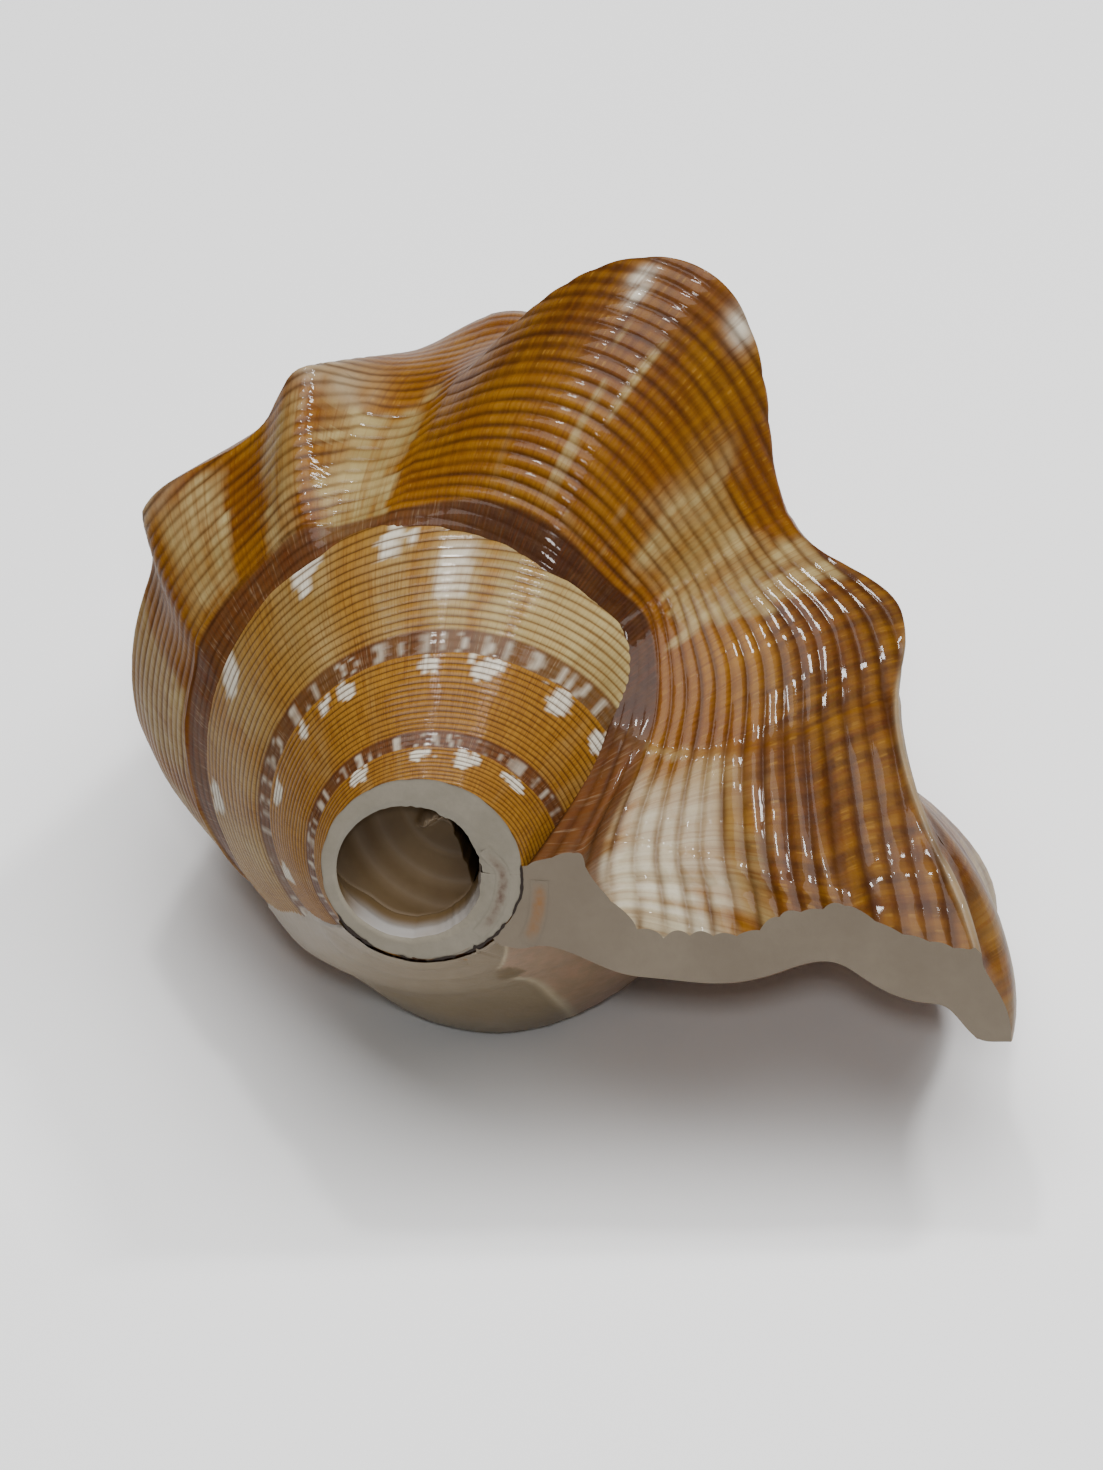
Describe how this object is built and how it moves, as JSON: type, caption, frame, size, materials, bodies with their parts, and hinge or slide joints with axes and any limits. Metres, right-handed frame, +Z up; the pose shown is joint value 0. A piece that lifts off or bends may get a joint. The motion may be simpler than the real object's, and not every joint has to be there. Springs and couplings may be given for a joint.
{
  "type": "blowing conch shell",
  "caption": "Winged conch shell with its tip sawn off as a blow hole and the back edge of its lip sawn flat.",
  "frame": {"origin": "centre of the footprint box, on the surface that the shell lies on", "axes": "+Z up, towards the shell's back; +Y along the shell towards the end of its siphonal canal, so the sawn blow hole faces -Y; +X towards the winged outer lip"},
  "size_m": [0.1018, 0.1308, 0.0825],
  "materials": {
    "shell": "glossy honey-brown shell with pale growth patches; the sawn rim and the sawn lip edge are matte warm grey"
  },
  "bodies": {
    "root": {"shell": "shell"}
  },
  "joints": []
}
